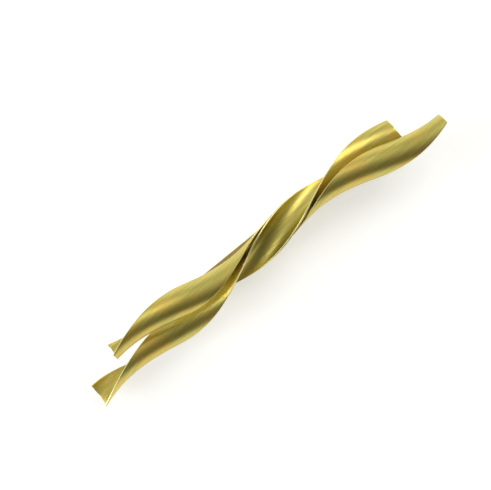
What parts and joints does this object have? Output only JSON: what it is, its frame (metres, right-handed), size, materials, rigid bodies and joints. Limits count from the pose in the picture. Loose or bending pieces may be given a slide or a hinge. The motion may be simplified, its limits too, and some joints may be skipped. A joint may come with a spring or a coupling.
{
  "type": "bar brooch",
  "caption": "Long bar brooch of nested, left-hand twisted channel strips in satin brass, with a hinged pin stem and a turning safety catch on the back.",
  "frame": {"origin": "middle of the whole brooch's box seen from the front, at the level of the lowest point of the catch", "axes": "+X along the brooch towards the front strip's far end, +Z out of the front, +Y across"},
  "size_m": [0.097, 0.0118, 0.0161],
  "materials": {
    "strip_brass": "satin, brushed along the strip",
    "finding_brass": "rolled, lightly polished",
    "sleeve_brass": "turned",
    "pin_steel": "drawn wire, bright",
    "solder": "silver solder, as flowed"
  },
  "bodies": {
    "root": {"strip_rear": "strip_brass", "strip_front": "strip_brass", "waist_solder": "solder", "back_bar": "finding_brass", "bar_solder": "solder", "hinge_bracket": "finding_brass", "hinge_rivet": "pin_steel", "catch_housing": "finding_brass"},
    "pin": {"pin_stem": "pin_steel"},
    "sleeve": {"catch_sleeve": "sleeve_brass"}
  },
  "joints": [
    {"name": "pin_open", "type": "hinge", "parent": "root", "child": "pin", "pos_m": [-0.0178, 0.00138, 0.00135], "axis": [0, 1, 0], "range_deg": [0, 100]},
    {"name": "sleeve_turn", "type": "hinge", "parent": "root", "child": "sleeve", "pos_m": [0.027, 0.00138, 0.00135], "axis": [-1, 0, 0], "range_deg": [0, 100]}
  ]
}
